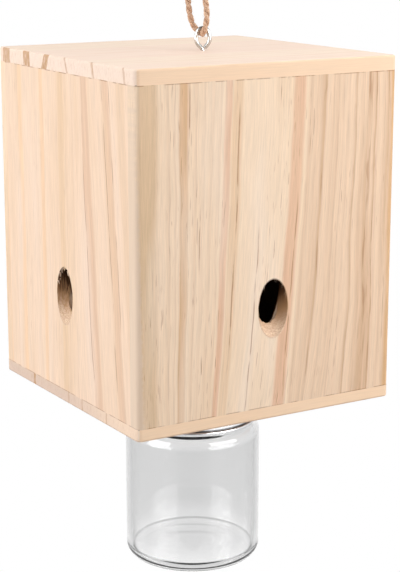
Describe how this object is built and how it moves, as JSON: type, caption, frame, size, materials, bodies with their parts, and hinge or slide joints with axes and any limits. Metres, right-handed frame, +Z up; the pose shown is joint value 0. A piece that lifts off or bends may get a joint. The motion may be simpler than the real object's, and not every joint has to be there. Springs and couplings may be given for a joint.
{
  "type": "hanging bee trap",
  "caption": "Square pine box hung by a twine loop from a screw eye, with slanted entry holes in its walls and a clear glass jar that screws into a metal lid under its floor.",
  "frame": {"origin": "the hang point, inside the top of the twine loop, just under its knot", "axes": "+Z up along the axis of the box and the jar, -Y out of the front wall"},
  "size_m": [0.14, 0.14, 0.3054],
  "materials": {
    "pine": "sanded, bare",
    "brad_steel": "bright",
    "plated_wire": "zinc plated",
    "jute": "twisted natural fibre",
    "lid_metal": "satin tinplate",
    "screw_steel": "zinc plated",
    "seal_rubber": "matt",
    "jar_glass": "clear"
  },
  "bodies": {
    "hanger": {"hanging_twine": "jute", "twine_knot": "jute"},
    "box": {"top_board": "pine", "bottom_board": "pine", "front_board": "pine", "back_board": "pine", "left_board": "pine", "right_board": "pine", "top_brads": "brad_steel", "bottom_brads": "brad_steel", "front_brads": "brad_steel", "back_brads": "brad_steel", "screw_eye": "plated_wire", "jar_lid": "lid_metal", "lid_screws": "screw_steel"},
    "seal_ring": {"jar_seal": "seal_rubber"},
    "jar": {"jar": "jar_glass"}
  },
  "joints": [
    {"name": "eye_swing", "type": "hinge", "parent": "hanger", "child": "box", "pos_m": [0.00444, -0.0027, -0.0244], "axis": [0.8545, -0.5195, 0], "range_deg": [-25, 25]},
    {"name": "jar_turn", "type": "hinge", "parent": "box", "child": "seal_ring", "pos_m": [0, 0, -0.2035], "axis": [0, 0, -1], "range_deg": [0, 1080]},
    {"name": "jar_drop", "type": "slide", "parent": "seal_ring", "child": "jar", "axis": [0, 0, -1], "range_m": [0, 0.018]}
  ],
  "couplings": [
    {"joint": "jar_drop", "follows": "jar_turn", "m_per_rad": 0.00095492}
  ]
}
